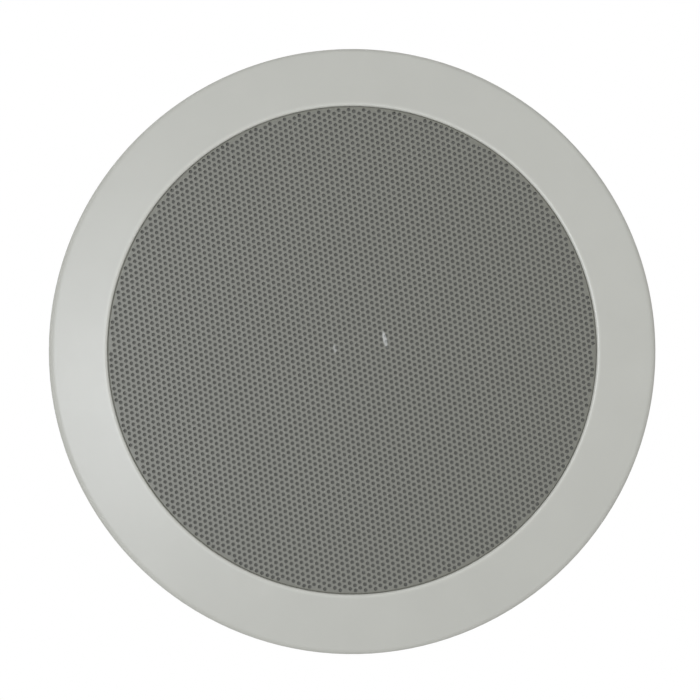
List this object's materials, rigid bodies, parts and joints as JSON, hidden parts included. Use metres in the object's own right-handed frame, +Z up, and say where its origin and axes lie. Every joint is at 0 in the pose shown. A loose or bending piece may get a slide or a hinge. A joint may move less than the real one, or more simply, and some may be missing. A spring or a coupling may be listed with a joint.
{
  "type": "flush-mount speaker",
  "caption": "Round flush-mount two-way speaker: pale bezel flange, perforated grille, driver with tweeter bridge, crossover with push terminals, and swing-out clamps that grip the panel.",
  "frame": {"origin": "centre of the round spigot, in the plane of the panel's face", "axes": "+Y along the spigot's axis, into the panel; the grille faces -Y; +Z up; +X to the viewer's right"},
  "size_m": [0.23, 0.087, 0.23],
  "materials": {
    "bezel_plastic": "satin moulded",
    "grille_paint": "satin paint",
    "grille_scrim": "acoustic cloth",
    "gasket_foam": "closed-cell foam",
    "basket_paint": "black powder coat",
    "surround_rubber": "matt rubber",
    "cone_plastic": "moulded diaphragm",
    "former_foil": "thin foil",
    "copper_wire": "enamelled copper",
    "spider_cloth": "resin-treated cloth",
    "plated_steel": "zinc plated",
    "ferrite": "sintered ferrite",
    "black_plastic": "moulded",
    "dome_silk": "coated silk",
    "bright_trim": "bright plated",
    "strip_card": "laminate",
    "tag_brass": "tinned",
    "tinsel_braid": "braided",
    "pad_foam": "foam",
    "board_laminate": "solder mask",
    "capacitor_film": "film wrap",
    "ceramic": "cement",
    "button_red": "moulded",
    "button_black": "moulded",
    "lead_red": "sleeve",
    "lead_black": "sleeve",
    "lead_grey": "sleeve",
    "dog_plastic": "moulded"
  },
  "bodies": {
    "root": {"bezel_frame": "bezel_plastic", "grille": "grille_paint", "grille_cloth": "grille_scrim", "driver_gasket": "gasket_foam", "basket": "basket_paint", "surround": "surround_rubber", "spider": "spider_cloth", "top_plate": "plated_steel", "magnet": "ferrite", "yoke": "plated_steel", "driver_screws": "plated_steel", "tweeter_bridge": "black_plastic", "tweeter_capsule": "black_plastic", "tweeter_dome": "dome_silk", "tweeter_trim": "bright_trim", "tweeter_magnet": "plated_steel", "bridge_screws": "plated_steel", "tag_strip": "strip_card", "tags": "tag_brass", "tinsel_lead_positive": "tinsel_braid", "tinsel_lead_negative": "tinsel_braid", "board_pad": "pad_foam", "crossover_board": "board_laminate", "capacitor": "capacitor_film", "choke_bobbin": "black_plastic", "choke_winding": "copper_wire", "resistor": "ceramic", "terminal_block": "black_plastic", "terminal_contacts": "tag_brass", "woofer_lead_positive": "lead_red", "woofer_lead_negative": "lead_black", "tweeter_lead": "lead_grey"},
    "moving_cone": {"cone": "cone_plastic", "dust_cap": "cone_plastic", "voice_coil_former": "former_foil", "voice_coil": "copper_wire"},
    "button_positive": {"terminal_button_positive": "button_red"},
    "button_negative": {"terminal_button_negative": "button_black"},
    "screw_1": {"clamp_screw_1": "plated_steel", "clamp_clip_1": "plated_steel"},
    "dog_1": {"clamp_dog_1": "dog_plastic"},
    "screw_2": {"clamp_screw_2": "plated_steel", "clamp_clip_2": "plated_steel"},
    "dog_2": {"clamp_dog_2": "dog_plastic"},
    "screw_3": {"clamp_screw_3": "plated_steel", "clamp_clip_3": "plated_steel"},
    "dog_3": {"clamp_dog_3": "dog_plastic"},
    "screw_4": {"clamp_screw_4": "plated_steel", "clamp_clip_4": "plated_steel"},
    "dog_4": {"clamp_dog_4": "dog_plastic"}
  },
  "joints": [
    {"name": "cone_travel", "type": "slide", "parent": "root", "child": "moving_cone", "axis": [0, -1, 0], "range_m": [-0.003, 0.003], "stiffness_N_per_m": 1200, "deforming": ["surround", "spider", "tinsel_lead_positive", "tinsel_lead_negative"]},
    {"name": "press_positive", "type": "slide", "parent": "root", "child": "button_positive", "axis": [0, -1, 0], "range_m": [0, 0.0025], "stiffness_N_per_m": 400},
    {"name": "press_negative", "type": "slide", "parent": "root", "child": "button_negative", "axis": [0, -1, 0], "range_m": [0, 0.0025], "stiffness_N_per_m": 400},
    {"name": "clamp_swing_1", "type": "hinge", "parent": "root", "child": "screw_1", "pos_m": [0.05869, 0.02, 0.05869], "axis": [0, 1, 0], "range_deg": [0, 90]},
    {"name": "clamp_draw_1", "type": "slide", "parent": "screw_1", "child": "dog_1", "axis": [0, -1, 0], "range_m": [0, 0.0235]},
    {"name": "clamp_swing_2", "type": "hinge", "parent": "root", "child": "screw_2", "pos_m": [-0.05869, 0.02, 0.05869], "axis": [0, 1, 0], "range_deg": [0, 90]},
    {"name": "clamp_draw_2", "type": "slide", "parent": "screw_2", "child": "dog_2", "axis": [0, -1, 0], "range_m": [0, 0.0235]},
    {"name": "clamp_swing_3", "type": "hinge", "parent": "root", "child": "screw_3", "pos_m": [-0.05869, 0.02, -0.05869], "axis": [0, 1, 0], "range_deg": [0, 90]},
    {"name": "clamp_draw_3", "type": "slide", "parent": "screw_3", "child": "dog_3", "axis": [0, -1, 0], "range_m": [0, 0.0235]},
    {"name": "clamp_swing_4", "type": "hinge", "parent": "root", "child": "screw_4", "pos_m": [0.05869, 0.02, -0.05869], "axis": [0, 1, 0], "range_deg": [0, 90]},
    {"name": "clamp_draw_4", "type": "slide", "parent": "screw_4", "child": "dog_4", "axis": [0, -1, 0], "range_m": [0, 0.0235]}
  ]
}
